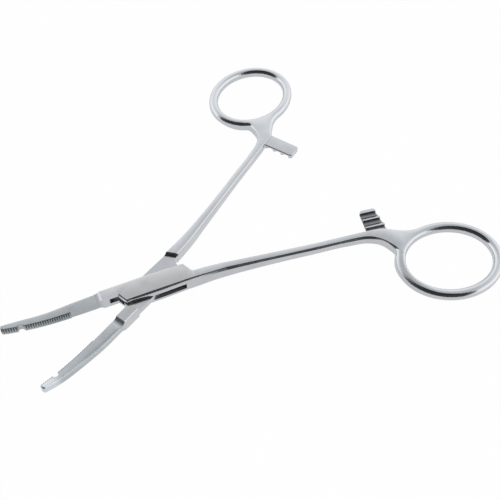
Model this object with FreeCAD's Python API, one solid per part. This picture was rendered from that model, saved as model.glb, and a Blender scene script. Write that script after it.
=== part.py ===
import FreeCAD, Part
import math
import os
from FreeCAD import Vector

# Sizes in millimetres, angles in degrees.
# Each half is drawn as it lies when the jaws are shut: x runs from the pivot towards the finger
# rings, y = 0 is the plane in which the jaws meet, and z = 0 is the flat underside of the box lock.

# How far the forceps stand open at rest
rest_opening = 29.7

# Box lock: the female half is slotted, and the male half passes through the slot
box_thickness = 4.4
cheek_thickness = 1.2
box_front = -7.9
box_front_side = -6.4
box_rear = 13.6
box_rear_side = 12.1
box_end_half_width = 3.15
box_mid_half_width = 3.4
box_mid = 3.0
box_nose_radius = 0.5
box_heel_radius = 0.6
box_crook_radius = 1.0
web_play = 0.04
wall_play = 0.12
slot_front = -10.4
slot_front_side = -8.8
slot_rear = 12.4
slot_rear_side = 10.7
shoulder_gap = 0.15
shoulder_hollow = 0.5
rear_hollow = 1.1
rear_hollow_gap = 0.28
cheek_bevel = 0.7

# Pivot pin, riveted flush in the cheeks
pin_diameter = 2.6
pin_running_clearance = 0.03

# Jaws
jaw_length = 39.3
jaw_root_width = 3.3
jaw_mid_width = 3.45
jaw_tip_width = 1.5
jaw_root_height = 2.8
jaw_tip_height = 2.35
jaw_step = -12.2
jaw_step_run = 2.0
jaw_step_hollow = 1.8
jaw_step_dip = 0.1
jaw_bend_start = -21.5
jaw_bend_radius = 55.0
jaw_tip_radius = 0.6
jaw_tip_bulge = 0.6
grip_gap = 0.08
serration_pitch = 0.62
serration_depth = 0.3
serration_start = -21.3
grip_relief = 0.25
notch_from_tip = 4.9
notch_radius = 0.85

# Shanks
shank_gap = 0.12
shank_end = 67.5
shank_inner_points = [(20, 0.45), (30, 1.75), (40, 3.1), (50, 4.45), (60, 5.65), (shank_end, 6.65)]
shank_outer_points = [(66.5, 9.4), (60, 7.95), (50, 6.7), (40, 5.35), (30, 4.15), (20, 3.3), (12, 3.2)]
shank_half_heights = [(20, 2.0), (30, 1.75), (42, 1.52), (54, 1.42)]

# Finger rings
ring_near_end = 68.0
ring_near_side = 11.2
ring_hole_length = 27.0
ring_hole_width = 21.0
ring_tube = 3.05
ring_tilt = 3.0
outer_neck_points = [(70.7, 13.7), (69.15, 11.05)]
inner_neck_points = [(72.0, 7.4), (75.1, 9.1), (78.2, 10.6)]
ring_inner_join = -98
ring_outer_join = 213

# Ratchet
male_rack_x = 69.2
male_rack_lean = 4.5
male_rack_spread = 0.1
female_rack_x = 71.0
female_rack_lean = 7.0
female_rack_spread = 0.8
rack_width = 5.0
rack_thickness = 1.35
rack_root = 8.4
rack_root_length = 1.25
rack_flare = 1.3
rack_flare_radius = 1.2
rack_corner = 0.9
rack_back_edge = 0.3
rack_play = 0.05
male_rack_reach = 3.4
female_rack_reach = 1.8
tooth_count = 3
tooth_pitch = 2.9
tooth_depth = 0.75
tooth_floor = 1.4
tooth_crest = 0.45
tooth_tab = 1.0

# Rounding of the edges
box_edge = 0.45
jaw_edge = 0.7
jaw_tip_edge = 0.5
grip_edge = 0.3
ring_edge = 1.35

# Cutting solids reach past the metal by these lengths
cut_past = 3.0
cut_half_width = 6.0
cut_height = 12.0

mid = box_thickness / 2
web_thickness = box_thickness - 2 * cheek_thickness - 2 * web_play
crest = serration_depth / 2 - grip_gap / 2
ring_x = ring_near_end + ring_hole_length / 2 + ring_tube
ring_y = ring_near_side + ring_hole_width / 2 + ring_tube
UP = Vector(0, 0, 1)


def spline(points, first, last):
    """A smooth curve through the points, leaving along first and arriving along last."""
    chords = [b - a for a, b in zip(points, points[1:])]
    spans = [chord.Length for chord in chords]
    slopes = [chord / span for chord, span in zip(chords, spans)]
    tangents = [first / first.Length]
    for i in range(1, len(spans)):
        before, after = spans[i - 1], spans[i]
        tangents.append((slopes[i - 1] * after + slopes[i] * before) / (before + after))
    tangents.append(last / last.Length)
    poles = [points[0]]
    knots = [0.0]
    for i, span in enumerate(spans):
        poles.append(points[i] + tangents[i] * (span / 3))
        poles.append(points[i + 1] - tangents[i + 1] * (span / 3))
        knots.append(knots[-1] + span)
    poles.append(points[-1])
    repeats = [4] + [2] * (len(spans) - 1) + [4]
    curve = Part.BSplineCurve()
    curve.buildFromPolesMultsKnots(poles, repeats, knots, False, 3)
    return curve.toShape()


def line(a, b):
    return Part.LineSegment(a, b).toShape()


def prism(edges, direction):
    face = Part.Face(Part.Wire(Part.__sortEdges__(edges)))
    return face.extrude(direction)


def ring_ellipse(length, width):
    """An ellipse about the ring's centre, tilted as the ring is."""
    tilt = math.radians(ring_tilt)
    centre = Vector(ring_x, ring_y, 0)
    along = Vector(math.cos(tilt), math.sin(tilt), 0)
    across = Vector(-math.sin(tilt), math.cos(tilt), 0)
    return Part.Ellipse(centre + along * (length / 2), centre + across * (width / 2), centre)


def plan():
    """Outline of one half from above, with its ring on the +y side and its jaw on the -y side."""
    outer = ring_ellipse(ring_hole_length + 2 * ring_tube, ring_hole_width + 2 * ring_tube)
    inner_join = math.radians(ring_inner_join)
    outer_join = math.radians(ring_outer_join)
    tip_in = Vector(-jaw_length, crest, 0)
    tip_out = Vector(-jaw_length, -jaw_tip_width, 0)
    heel = Vector(box_rear_side, -box_end_half_width, 0)
    crook = Vector(box_rear, shank_gap, 0)
    nose = Vector(box_front_side, box_end_half_width, 0)
    throat = Vector(box_front, crest, 0)
    jaw_side = [
        tip_out,
        Vector(-jaw_length * 0.9, -jaw_tip_width - jaw_tip_bulge, 0),
        Vector(-jaw_length * 0.7, (-jaw_tip_width - jaw_tip_bulge - jaw_mid_width) / 2, 0),
        Vector(-jaw_length * 0.5, -jaw_mid_width, 0),
        Vector(jaw_step, -jaw_root_width, 0),
        Vector(box_mid, -box_mid_half_width, 0),
        heel,
    ]
    inner_side = [crook]
    inner_side += [Vector(x, y, 0) for x, y in shank_inner_points + inner_neck_points]
    inner_side.append(outer.value(inner_join))
    outer_side = [outer.value(outer_join)]
    outer_side += [Vector(x, y, 0) for x, y in outer_neck_points + shank_outer_points]
    outer_side += [Vector(box_mid, box_mid_half_width, 0), nose]
    return [
        line(throat, tip_in),
        line(tip_in, tip_out),
        spline(jaw_side, Vector(1, -0.12, 0), Vector(1, 0.08, 0)),
        line(heel, crook),
        spline(inner_side, Vector(1, 0.02, 0), outer.tangent(inner_join)[0]),
        outer.toShape(inner_join, outer_join),
        spline(outer_side, outer.tangent(outer_join)[0], Vector(-1, -0.08, 0)),
        line(nose, throat),
    ]


def jaw_middle(x):
    """Height of the jaw's middle line, straight at first and then bent upwards along an arc."""
    beyond = max(jaw_bend_start - x, 0)
    return mid + jaw_bend_radius - math.sqrt(jaw_bend_radius ** 2 - beyond ** 2)


def side_edge(side):
    """Top (side = 1) or bottom (side = -1) of one half seen from the side, and its two ends."""
    first_x = -jaw_length - 2
    root_x = jaw_step - jaw_step_run
    jaw = []
    for share in (1, 0.75, 0.5, 0.25, 0):
        x = root_x + (first_x - root_x) * share
        height = jaw_root_height + (jaw_tip_height - jaw_root_height) * share
        jaw.append(Vector(x, 0, jaw_middle(x) + side * height / 2))
    level = Vector(1, 0, 0)
    tip_slope = Vector(1, 0, 1.2 * (jaw[1].z - jaw[0].z) / (jaw[1].x - jaw[0].x))
    shoulder = Vector(jaw_step, 0, mid + side * box_thickness / 2)
    box_end = Vector(box_rear - 0.4, 0, mid + side * box_thickness / 2)
    ring_start = Vector(shank_end, 0, mid + side * ring_tube / 2)
    far = Vector(ring_x + ring_hole_length, 0, mid + side * ring_tube / 2)
    shank = [Vector(x, 0, mid + side * height) for x, height in shank_half_heights]
    edges = [
        spline(jaw, tip_slope, level),
        spline([jaw[-1], shoulder], level, level),
        line(shoulder, box_end),
        spline([box_end] + shank + [ring_start], level, level),
        line(ring_start, far),
    ]
    return edges, jaw[0], far


def is_wall(face):
    """True for a face that stands upright all over."""
    u0, u1, v0, v1 = face.ParameterRange
    return all(
        abs(face.normalAt(u0 + (u1 - u0) * share, v0 + (v1 - v0) * (1 - share)).z) < 0.001
        for share in (0.3, 0.5, 0.7)
    )


def edge_radius(point):
    """Rounding of the top and bottom edges at a corner point of one half."""
    if point.x > shank_end + 1:
        return ring_edge
    if point.x < box_front and point.y > 0:
        return grip_edge
    if point.x < 1 - jaw_length:
        return jaw_tip_edge
    if point.x < jaw_step - 1:
        return jaw_edge
    return box_edge


def edge_runs(solid):
    """Edges between an upright wall and the top or bottom, followed end to end, with their radii."""
    ends = {}
    for number, edge in enumerate(solid.Edges, 1):
        walls = [is_wall(face) for face in solid.ancestorsOfType(edge, Part.Face)]
        if sum(walls) == 1:
            ends[number] = (edge.valueAt(edge.FirstParameter), edge.valueAt(edge.LastParameter))
    runs = []
    reached = None
    while ends:
        number = min(ends)
        for other, points in ends.items():
            if reached and min(point.distanceToPoint(reached) for point in points) < 0.001:
                number = other
                break
        first, last = ends.pop(number)
        if reached and last.distanceToPoint(reached) < 0.001:
            first, last = last, first
        reached = last
        runs.append((number, edge_radius(first), edge_radius(last)))
    return runs


def rounded(solid):
    """The solid with its top and bottom edges rounded by radii that change along them.

    Where sizes have been changed so that the full radii find no room, a little less is taken.
    """
    document = FreeCAD.newDocument("half")
    base = document.addObject("Part::Feature", "Blank")
    base.Shape = solid
    fillet = document.addObject("Part::Fillet", "Rounded")
    fillet.Base = base
    runs = edge_runs(solid)
    for share in (1.0, 0.97, 0.92, 0.85):
        fillet.Edges = [(number, share * first, share * last) for number, first, last in runs]
        document.recompute()
        if not fillet.Shape.isNull():
            break
    result = fillet.Shape.copy()
    FreeCAD.closeDocument("half")
    return result


def upright_edges(solid, x, y):
    """The solid's upright edges at one place in the plan."""
    found = []
    for edge in solid.Edges:
        a, b = edge.Vertexes[0].Point, edge.Vertexes[-1].Point
        if abs(a.z - b.z) > 0.5 and math.hypot(a.x - x, a.y - y) < 0.01:
            found.append(edge)
    return found


def step_hollow(side):
    """Round cutter for the hollow between the box and the jaw, above (side = 1) or below it."""
    floor = jaw_root_height / 2 - jaw_step_dip
    above_box = floor + jaw_step_hollow - box_thickness / 2
    back = math.sqrt(jaw_step_hollow ** 2 - above_box ** 2)
    centre = Vector(jaw_step - back, -2 * box_thickness, mid + side * (floor + jaw_step_hollow))
    return Part.makeCylinder(jaw_step_hollow, 4 * box_thickness, centre, Vector(0, 1, 0))


def half_blank():
    """One half before its lock, ratchet and serrations are cut, with its edges rounded."""
    body = prism(plan(), UP * (2 * cut_height))
    hole = prism([ring_ellipse(ring_hole_length, ring_hole_width).toShape()], UP * (2 * cut_height))
    body = body.cut(hole)
    body.translate(UP * (-cut_height / 2))
    corners = {
        (box_front, crest): box_nose_radius,
        (box_front_side, box_end_half_width): box_nose_radius,
        (box_rear_side, -box_end_half_width): box_heel_radius,
        (box_rear, shank_gap): box_crook_radius,
        (-jaw_length, crest): jaw_tip_radius,
        (-jaw_length, -jaw_tip_width): jaw_tip_radius,
    }
    for (x, y), radius in corners.items():
        body = body.makeFillet(radius, upright_edges(body, x, y))
    top, top_tip, top_far = side_edge(1)
    bottom, bottom_tip, bottom_far = side_edge(-1)
    outline = top + bottom + [line(top_tip, bottom_tip), line(top_far, bottom_far)]
    slab = prism(outline, Vector(0, 3 * ring_y, 0))
    slab.translate(Vector(0, -ring_y, 0))
    half = rounded(body.common(slab).Solids[0])
    return half.cut([step_hollow(1), step_hollow(-1)])


def plate(points, low, high):
    """A flat piece with a straight-sided outline, between two heights."""
    corners = [Vector(x, y, low) for x, y in points]
    return Part.Face(Part.makePolygon(corners + corners[:1])).extrude(UP * (high - low))


def slanted(x_axis, x_side, side, shift):
    """Two points far apart on the slanted line through (x_axis, 0) and the box's side, moved along x."""
    slope = (x_side - x_axis) / (side * box_end_half_width)
    return [(x_axis + shift + slope * y, y) for y in (-cut_half_width * side, cut_half_width * side)]


def rack(x, lean, spread, reach, side):
    """Ratchet bar on the inner side of the shank, with its teeth towards the middle plane."""
    face_z = mid + side * rack_play
    back_z = face_z + side * rack_thickness
    left = x - rack_width / 2
    right = x + rack_width / 2
    left_start = rack_root - rack_root_length
    right_start = rack_root - rack_root_length / 2
    outline = [
        (left - spread - rack_flare, rack_root),
        (left - spread - rack_flare, left_start),
        (left - spread, left_start),
        (left, -reach),
        (right, -reach),
        (right + spread, right_start),
        (right + spread + rack_flare, right_start),
        (right + spread + rack_flare, rack_root),
    ]
    bar = plate(outline, min(face_z, back_z), max(face_z, back_z))
    uprights = {
        (left - spread, left_start): rack_flare_radius,
        (right + spread, right_start): rack_flare_radius,
        (left, -reach): rack_corner,
        (right, -reach): rack_corner,
    }
    for (corner_x, corner_y), radius in uprights.items():
        bar = bar.makeFillet(radius, upright_edges(bar, corner_x, corner_y))
    back_edges = []
    for edge in bar.Edges:
        box = edge.BoundBox
        if abs(box.ZMin - back_z) < 0.001 and abs(box.ZMax - back_z) < 0.001 and box.YMin < left_start:
            back_edges.append(edge)
    bar = bar.makeFillet(rack_back_edge, back_edges)
    for i in range(tooth_count):
        start = -reach + tooth_tab + tooth_pitch * i
        groove_left = left - spread - cut_past
        groove = [
            Vector(groove_left, start, face_z - side),
            Vector(groove_left, start, face_z),
            Vector(groove_left, start + tooth_depth / 4, face_z + side * tooth_depth),
            Vector(groove_left, start + tooth_floor, face_z + side * tooth_depth),
            Vector(groove_left, start + tooth_pitch - tooth_crest, face_z),
            Vector(groove_left, start + tooth_pitch - tooth_crest, face_z - side),
        ]
        groove_end = Part.Face(Part.makePolygon(groove + groove[:1]))
        bar = bar.cut(groove_end.extrude(Vector(rack_width + 2 * spread + 2 * cut_past, 0, 0)))
    bar.rotate(Vector(x, left_start, 0), UP, lean)
    return bar


def cut_grip(half, starts_deep):
    """Cut the serrations, the relief behind them and the round notch near the tip."""
    above = crest + cut_past
    deep = crest - serration_depth
    count = int((jaw_length + serration_start - jaw_tip_radius) / serration_pitch)
    serration_end = serration_start - serration_pitch * count
    outline = [
        (box_front, above),
        (box_front, -grip_relief),
        (serration_start, -grip_relief),
    ]
    for i in range(2 * count + 1):
        is_deep = (i % 2 == 0) == starts_deep
        outline.append((serration_start - serration_pitch * i / 2, deep if is_deep else crest))
    outline += [
        (serration_end, -grip_gap / 2),
        (-jaw_length - cut_past, -grip_gap / 2),
        (-jaw_length - cut_past, above),
    ]
    notch_foot = Vector(notch_from_tip - jaw_length, 0, -cut_past)
    notch = Part.makeCylinder(notch_radius, cut_past + cut_height, notch_foot)
    return half.cut([plate(outline, -cut_past, cut_height), notch])


def male_half(blank):
    """The half that passes through the box: its middle is milled down to a web."""
    web_low = mid - web_thickness / 2
    web_high = mid + web_thickness / 2
    front = slanted(box_front, box_front_side, -1, -shoulder_gap - shoulder_hollow)
    rear = slanted(box_rear, box_rear_side, 1, rear_hollow_gap)
    pocket = [front[1], front[0], rear[1], rear[0]]
    above = plate(pocket, web_high, web_high + box_thickness)
    for radius, forward in ((shoulder_hollow, True), (rear_hollow, False)):
        floor_edges = []
        for edge in above.Edges:
            box = edge.BoundBox
            if box.ZMax < web_high + 0.001 and box.YLength > cut_half_width and (box.XMax < 0) == forward:
                floor_edges.append(edge)
        above = above.makeFillet(radius, floor_edges)
    below = above.mirror(Vector(0, 0, mid), UP)
    wall_end = slanted(slot_rear, slot_rear_side, -1, -wall_play)[1]
    past_wall = [
        (slot_rear - wall_play, wall_play),
        wall_end,
        (box_rear + cut_past, wall_end[1]),
        (box_rear + cut_past, wall_play),
    ]
    behind_web = plate(past_wall, web_low - cut_past, web_high + cut_past)
    behind_web = behind_web.common(plate(pocket, web_low - cut_past, web_high + cut_past))
    bore_radius = pin_diameter / 2 + pin_running_clearance
    bore = Part.makeCylinder(bore_radius, box_thickness)
    half = cut_grip(blank, False).cut([above, below, behind_web])
    return half.fuse(rack(male_rack_x, male_rack_lean, male_rack_spread, male_rack_reach, 1)).cut(bore)


def female_half(blank):
    """The half with the box: two cheeks with a slot between them."""
    slot_top = box_thickness - cheek_thickness
    slot = [
        (slot_front, -cut_half_width),
        (slot_front, 0),
        slanted(slot_front, slot_front_side, 1, 0)[1],
        (box_rear + cut_past, cut_half_width),
        (box_rear + cut_past, 0),
        (slot_rear, 0),
        slanted(slot_rear, slot_rear_side, -1, 0)[1],
    ]
    cutters = [plate(slot, cheek_thickness, slot_top)]
    foot, side_foot = slanted(box_rear, box_rear_side, 1, 0)
    along = Vector(side_foot[0] - foot[0], side_foot[1] - foot[1], 0)
    for side in (1, -1):
        inner = mid + side * (slot_top - mid)
        bevel = [
            Vector(foot[0] - cheek_bevel, foot[1], inner),
            Vector(foot[0], foot[1], inner + side * cheek_bevel),
            Vector(foot[0] + cut_past, foot[1], inner + side * cheek_bevel),
            Vector(foot[0] + cut_past, foot[1], inner),
        ]
        share = -foot[1] / along.y
        bevel = [corner + along * share for corner in bevel]
        bevel_end = Part.Face(Part.makePolygon(bevel + bevel[:1]))
        cutters.append(bevel_end.extrude(along * (1 - share)))
    cutters.append(Part.makeCylinder(pin_diameter / 2, box_thickness))
    bar = rack(female_rack_x, female_rack_lean, female_rack_spread, female_rack_reach, -1)
    half = cut_grip(blank, True).fuse(bar).mirror(Vector(0, 0, 0), Vector(0, 1, 0))
    return half.cut(cutters)


blank = half_blank()
pin = Part.makeCylinder(pin_diameter / 2, box_thickness)
female = female_half(blank).Solids[0]
male = male_half(blank).Solids[0]
female.rotate(Vector(0, 0, 0), UP, -rest_opening / 2)
male.rotate(Vector(0, 0, 0), UP, rest_opening / 2)
os.makedirs("parts", exist_ok=True)
female.exportStep("parts/female_half.step")
male.exportStep("parts/male_half.step")
pin.exportStep("parts/pivot_pin.step")
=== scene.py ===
import bpy
import math
from mathutils import Matrix, Vector

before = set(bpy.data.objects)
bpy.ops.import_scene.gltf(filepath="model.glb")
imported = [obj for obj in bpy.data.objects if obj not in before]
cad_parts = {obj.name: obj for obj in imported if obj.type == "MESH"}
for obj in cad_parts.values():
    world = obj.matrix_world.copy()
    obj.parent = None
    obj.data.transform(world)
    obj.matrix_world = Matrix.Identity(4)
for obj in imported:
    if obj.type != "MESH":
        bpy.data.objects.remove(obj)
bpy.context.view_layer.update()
scene = bpy.context.scene
scene.view_settings.view_transform = "Standard"


# The camera: a short telephoto held above the jaws' side of the table, turned slightly clockwise,
# so that the jaws point to the lower left and the finger rings lie at the top and at the right.
view_azimuth = math.radians(-42.32)
view_elevation = math.radians(51.83)
view_roll = math.radians(3.43)
view_distance = 0.2041
pivot_height = 0.0022
aim_right_of_pivot = 0.028007
aim_beyond_pivot = 0.016213
focal_length_in_pixels = 698.95
picture_width_in_pixels = 500
film_width = 36.0

away = Vector((-math.sin(view_azimuth), math.cos(view_azimuth), 0.0))
right = Vector((math.cos(view_azimuth), math.sin(view_azimuth), 0.0))
back = -away * math.cos(view_elevation) + Vector((0, 0, math.sin(view_elevation)))
up = back.cross(right)
rolled_right = right * math.cos(view_roll) + up * math.sin(view_roll)
rolled_up = up * math.cos(view_roll) - right * math.sin(view_roll)
aim = Vector((0, 0, pivot_height)) + right * aim_right_of_pivot + away * aim_beyond_pivot
eye = aim + back * view_distance
camera = bpy.data.objects.new("camera", bpy.data.cameras.new("camera"))
camera.data.sensor_width = film_width
camera.data.lens = focal_length_in_pixels / picture_width_in_pixels * film_width
camera.data.clip_start = 0.01
camera.data.clip_end = 10.0
camera.matrix_world = Matrix((
    (rolled_right.x, rolled_up.x, back.x, eye.x),
    (rolled_right.y, rolled_up.y, back.y, eye.y),
    (rolled_right.z, rolled_up.z, back.z, eye.z),
    (0, 0, 0, 1),
))
scene.collection.objects.link(camera)
scene.camera = camera


# The satin stainless steel of both halves: forged, ground along its length, blasted matt on the
# jaws and polished by handling on the finger rings. Its maths is written with a wrapped socket.
class Wire:
    """A shader socket that can be used in sums."""

    def __init__(self, tree, socket):
        self.tree = tree
        self.socket = socket

    def make(self, kind, settings=None, sockets=None, output=0):
        node = self.tree.nodes.new("ShaderNode" + kind)
        for name, value in (settings or {}).items():
            setattr(node, name, value)
        for name, value in (sockets or {}).items():
            if isinstance(value, Wire):
                self.tree.links.new(value.socket, node.inputs[name])
            else:
                node.inputs[name].default_value = value
        return Wire(self.tree, node.outputs[output])

    def math(self, operation, first, second):
        return self.make("Math", {"operation": operation}, {0: first, 1: second})

    def __add__(self, other):
        return self.math("ADD", self, other)

    def __radd__(self, other):
        return self.math("ADD", other, self)

    def __sub__(self, other):
        return self.math("SUBTRACT", self, other)

    def __rsub__(self, other):
        return self.math("SUBTRACT", other, self)

    def __mul__(self, other):
        return self.math("MULTIPLY", self, other)

    def __rmul__(self, other):
        return self.math("MULTIPLY", other, self)

    def between(self, low, high):
        """0 below low, 1 above high and smooth between them; the other way round if low is higher."""
        settings = {"interpolation_type": "SMOOTHSTEP"}
        if low < high:
            return self.make("MapRange", settings, {"Value": self, "From Min": low, "From Max": high})
        sockets = {"Value": self, "From Min": high, "From Max": low, "To Min": 1.0, "To Max": 0.0}
        return self.make("MapRange", settings, sockets)


def new_finish(name):
    """An empty material with its shader; gives the material, the shader and a first wire."""
    material = bpy.data.materials.new(name)
    material.use_nodes = True
    shader = material.node_tree.nodes["Principled BSDF"]
    return material, shader, Wire(material.node_tree, shader.inputs["Roughness"])


def steel_of_half(name, turn, side, is_slotted, jaw_shade, painted_tip_highlight, crowning, edge_fall):
    """Steel whose grain runs along a half that is turned by so many degrees about the pivot.

    All places are measured in that half: x towards its ring, across towards the ring's side, which
    is +1 or -1, and z up. is_slotted is 1 for the half with the slot and 0 for the other, which
    decides where shade is painted. The jaw is darker than the rest by jaw_shade. Its tip gets a
    painted highlight, with painted shade just behind it, of strength painted_tip_highlight. The inner
    flat of the shank is crowned by crowning, and its outer edge falls away by the slope edge_fall,
    which makes the edge look rounder than it is.
    """
    material, shader, wire = new_finish(name)
    place = wire.make("TexCoord", output="Object")
    along = wire.make("Mapping", {"vector_type": "TEXTURE"}, {
        "Vector": place, "Rotation": (0, 0, math.radians(turn)),
    })
    x = wire.make("SeparateXYZ", None, {"Vector": along}, 0)
    across = wire.make("SeparateXYZ", None, {"Vector": along}, 1) * side
    z = wire.make("SeparateXYZ", None, {"Vector": along}, 2)

    # The jaw, the ring and the ground top of the box.
    jaw = x.between(-0.0118, -0.0138)
    ring = x.between(0.066, 0.076)
    cheek = x.between(-0.0100, -0.0092) * x.between(0.0150, 0.0130) * z.between(0.0040, 0.0043)

    # Painted shade: the colour is darkened inside the slot, in the grooves of the upturned ratchet,
    # in the valleys of the serrations and on the rear step of the half that passes through the slot,
    # where shadow falls or the steel mirrors the tent's dark opening.
    slot_slant = 0.54
    in_slot = x.between(-0.0106, -0.0104) * (x + across * slot_slant).between(0.0126, 0.0124)
    in_slot = in_slot * z.between(0.00117, 0.00121) * z.between(0.00323, 0.00319)
    in_rack = x.between(0.0666, 0.0668) * x.between(0.0766, 0.0764) * across.between(0.0066, 0.0062)
    in_groove = in_rack * z.between(0.00212, 0.0019)
    jaw_bend_start = -0.0215
    jaw_bend_radius = 0.055
    past_bend = wire.math("MAXIMUM", jaw_bend_start - x, 0.0)
    rise = past_bend * past_bend * (0.5 / jaw_bend_radius)
    in_valley = across.between(-0.00026, -0.00020) * across.between(0.00006, -0.00008)
    in_valley = in_valley * x.between(-0.0212, -0.0214) * (z - rise).between(0.0016, 0.0026)
    in_step = x.between(0.0100, 0.0104) * x.between(0.0144, 0.0140)
    in_step = in_step * z.between(0.00322, 0.00330) * z.between(0.0042, 0.0040)
    # The grooves and the valleys get a lighter painted shade than the slot and the step.
    partial_shade = 0.75
    painted_shade = wire.math("MAXIMUM", in_slot, in_groove * partial_shade) * is_slotted
    painted_shade = wire.math("MAXIMUM", painted_shade, in_valley * partial_shade)
    painted_shade = wire.math("MAXIMUM", painted_shade, in_step * (1 - is_slotted))

    # The grinding lines along the half, the blasted jaw, and faint clouds and smudges all over.
    grain_stretch = 0.05
    grain_place = wire.make("VectorMath", {"operation": "MULTIPLY"}, {
        0: along, 1: (grain_stretch, 1.0, 1.0),
    })
    grain = wire.make("TexNoise", None, {
        "Vector": grain_place, "Scale": 9000.0, "Detail": 3.0, "Roughness": 0.6,
    })
    clouds = wire.make("TexNoise", None, {
        "Vector": place, "Scale": 160.0, "Detail": 4.0, "Roughness": 0.55,
    })
    blasted = wire.make("TexNoise", None, {"Vector": place, "Scale": 5200.0, "Detail": 2.0})
    wear = wire.make("TexNoise", None, {
        "Vector": place, "Scale": 45.0, "Detail": 5.0, "Roughness": 0.6,
    })
    smudge = wear.between(0.48, 0.68)

    # Brightness, with a cool tint that is strongest on the jaw and weakest on the ground box.
    steel_brightness = 0.62
    painted_shade_depth = 0.75
    tone = (grain - 0.5) * 0.12 + (clouds - 0.5) * 0.08 + smudge * -0.04
    # A painted highlight on the jaw's tip, with painted shade on the jaw just behind it, scaled by
    # painted_tip_highlight.
    tip_highlight_and_shade = x.between(-0.0335, -0.0365) - x.between(-0.018, -0.033) * 0.3
    bright = steel_brightness + tone * (1 - jaw * 0.4) - jaw * jaw_shade + tip_highlight_and_shade * painted_tip_highlight
    # Painted shade darkens the colour in the slot, the grooves, the valleys and on the rear step.
    bright = bright * (1 - painted_shade * painted_shade_depth)
    colour = wire.make("CombineColor", None, {
        "Red": bright * (0.975 + cheek * 0.025 - jaw * 0.03),
        "Green": bright * (1.0 + cheek * 0.005),
        "Blue": bright * (1.04 - cheek * 0.03),
    })
    steel_roughness = 0.22
    rough = steel_roughness + (grain - 0.5) * 0.14 + (clouds - 0.5) * 0.10 + smudge * 0.05
    rough = rough + jaw * 0.22 - ring * 0.05 + painted_shade * 0.25

    # The crown of the shank's inner flat, from its slanting middle line as far as crown_reach.
    before_ring = x.between(0.074, 0.064)
    middle_slant = 0.125
    crown_reach = 0.001612
    inwards = wire.math("MINIMUM", across - (x * middle_slant - 0.0006), 0.0)
    crown = wire.math("MINIMUM", inwards * inwards, crown_reach * crown_reach) * crowning
    crown = crown * x.between(0.016, 0.026) * before_ring

    # The outer edge: straight along the box, then slanting outwards with the shank and curving
    # away steeply at the ring's neck. From a little inside it the surface falls to the side wall.
    box_half_width = 0.00325
    edge_slant = 0.1267
    neck_start = 0.058
    neck_steepness = 13000000
    past_neck = wire.math("MAXIMUM", x - neck_start, 0.0)
    neck = wire.math("POWER", past_neck, 5.0) * neck_steepness
    edge = wire.math("MAXIMUM", x * edge_slant + 0.00035, box_half_width) + neck
    on_shank = x.between(0.010, 0.024) * before_ring
    edge_reach = 0.00085 - on_shank * 0.0003
    past_edge = wire.math("MAXIMUM", across - edge + edge_reach, 0.0)
    longest_fall = 0.001
    easing = wire.math("MINIMUM", past_edge, longest_fall) * x.between(-0.0075, -0.0045) * before_ring

    # The same fall on the side wall's upper end, below a top that is lowest in mid-shank.
    box_top = 0.0044
    lowest_top = 0.00362
    lowest_place = 0.056
    top_growth = 0.45
    from_lowest = x - lowest_place
    top = from_lowest * from_lowest * top_growth + lowest_top
    top = wire.math("MINIMUM", top, box_top)
    wall_reach = 0.0006
    easing = easing + wire.math("MAXIMUM", z - top + wall_reach, 0.0) * on_shank

    line_depth = 0.000004
    height = (grain * (1 - jaw) * (1 - ring * 0.6) + blasted * jaw * 1.4) * line_depth
    height = height - (crown + easing * edge_fall)
    bump = wire.make("Bump", None, {"Strength": 1.0, "Distance": 1.0, "Height": height})
    tree = material.node_tree
    tree.links.new(colour.socket, shader.inputs["Base Color"])
    tree.links.new(rough.socket, shader.inputs["Roughness"])
    tree.links.new(bump.socket, shader.inputs["Normal"])
    shader.inputs["Metallic"].default_value = 1.0
    return material


weld_reach = 0.000002
sharp_angle = math.radians(28)


def finish_node(node, material):
    """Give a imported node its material, and even shading that still breaks at its sharp edges."""
    node.data.materials.clear()
    node.data.materials.append(material)
    for face in node.data.polygons:
        face.use_smooth = True
    weld = node.modifiers.new("joined corners", "WELD")
    weld.merge_threshold = weld_reach
    split = node.modifiers.new("sharp edges", "EDGE_SPLIT")
    split.split_angle = sharp_angle


# The female half: one forging of satin stainless steel, slotted through its box lock, with its
# finger ring at the right of the photograph. It lies turned half the opening from the middle.
half_opening = 14.85
female_steel = steel_of_half(
    "steel of the female half", turn=-half_opening, side=-1, is_slotted=1,
    jaw_shade=0.11, painted_tip_highlight=0.0, crowning=0, edge_fall=0.72,
)
finish_node(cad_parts["female_half"], female_steel)


# The male half: one forging of the same steel, milled down to a web where it passes through the
# slot, with its finger ring at the top of the photograph.
male_steel = steel_of_half(
    "steel of the male half", turn=half_opening, side=1, is_slotted=0,
    jaw_shade=0.01, painted_tip_highlight=0.22, crowning=90, edge_fall=0.0,
)
finish_node(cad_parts["male_half"], male_steel)


# The pivot pin: hard steel wire riveted in both cheeks and ground flush with them, so that only a
# faint circle tells it from the cheek around it.
pin_brightness = 0.60
pin_roughness = 0.23
material, shader, wire = new_finish("ground steel of the pin")
place = wire.make("TexCoord", output="Object")
swirl = wire.make("TexNoise", None, {"Vector": place, "Scale": 4000.0, "Detail": 3.0})
rough = pin_roughness + (swirl - 0.5) * 0.10
tone = pin_brightness + (swirl - 0.5) * 0.06
colour = wire.make("CombineColor", None, {"Red": tone, "Green": tone, "Blue": tone * 1.01})
bump = wire.make("Bump", None, {"Strength": 0.03, "Distance": 0.00003, "Height": swirl})
wire.tree.links.new(rough.socket, shader.inputs["Roughness"])
wire.tree.links.new(colour.socket, shader.inputs["Base Color"])
wire.tree.links.new(bump.socket, shader.inputs["Normal"])
shader.inputs["Metallic"].default_value = 1.0
finish_node(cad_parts["pivot_pin"], material)


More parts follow.
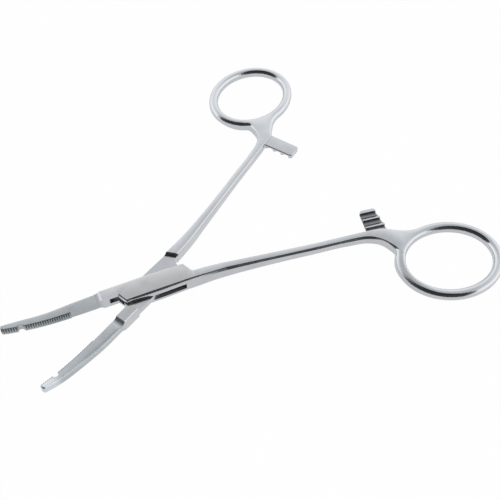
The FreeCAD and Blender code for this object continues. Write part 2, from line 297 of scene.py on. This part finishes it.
# The table: a plain white sheet, larger than the view, that catches the forceps' soft shadow. It
# is lit until it is almost pure white, so most of what the camera sees of it is its glow.
sheet_size = 3.0
sheet_centre = (0.03, 0, -0.0002)
sheet_colour = (0.85, 0.85, 0.85, 1)
glow_to_camera = 0.985
glow_in_steel = 0.8
bpy.ops.object.select_all(action="DESELECT")
bpy.ops.mesh.primitive_plane_add(size=sheet_size, location=sheet_centre)
table = bpy.context.object
table.name = "table"
bpy.ops.object.transform_apply(location=True)
material, shader, wire = new_finish("white sheet")
shader.inputs["Base Color"].default_value = sheet_colour
shader.inputs["Roughness"].default_value = 0.9
seen = wire.make("LightPath", output="Is Camera Ray")
mirrored = wire.make("LightPath", output="Is Glossy Ray")
glow = wire.make("Emission", None, {"Color": (1, 1, 1, 1), "Strength": 1.0})
mixed = wire.make("MixShader", None, {0: seen * glow_to_camera + mirrored * glow_in_steel})
wire.tree.links.new(wire.tree.nodes["Principled BSDF"].outputs[0], mixed.socket.node.inputs[1])
wire.tree.links.new(glow.socket, mixed.socket.node.inputs[2])
wire.tree.links.new(mixed.socket, wire.tree.nodes["Material Output"].inputs["Surface"])
table.data.materials.append(material)


# The light: a white tent, brightest low down and at its sides, with a wide dark opening on the
# camera's side, rather to its left, that draws the dark lines along the near edges.
opening_elevation = math.radians(37)
opening_turn = math.radians(13)
opening_core = math.radians(57)
opening_rim = math.radians(65)
opening_depth = 0.95
cloth_brightness = 0.66
low_glow = 0.5
side_glow = 0.25
top_glow = 0.2

world = bpy.data.worlds.new("tent")
scene.world = world
world.use_nodes = True
background = world.node_tree.nodes["Background"]
tent = Wire(world.node_tree, background.inputs["Color"])
direction = tent.make("TexCoord", output="Generated")
opening = -away * math.cos(opening_turn) - right * math.sin(opening_turn)
opening = opening * math.cos(opening_elevation) + Vector((0, 0, math.sin(opening_elevation)))
facing = tent.make(
    "VectorMath", {"operation": "DOT_PRODUCT"}, {0: direction, 1: tuple(opening)}, "Value",
)
dark = facing.between(math.cos(opening_rim), math.cos(opening_core))
sideways = tent.make(
    "VectorMath", {"operation": "DOT_PRODUCT"}, {0: direction, 1: tuple(right)}, "Value",
)
height = tent.make("SeparateXYZ", None, {"Vector": direction}, "Z")
shade = cloth_brightness + height.between(0.9, 0.55) * low_glow
shade = shade + sideways * sideways * side_glow + height.between(0.9, 1.0) * top_glow
shade = shade * (1 - dark * opening_depth)
ray = tent.make("LightPath", output="Is Camera Ray")
shade = shade * (1 - ray) + ray
colour = tent.make("CombineColor", None, {
    "Red": shade * 0.99, "Green": shade, "Blue": shade * 1.01,
})
world.node_tree.links.new(colour.socket, background.inputs["Color"])
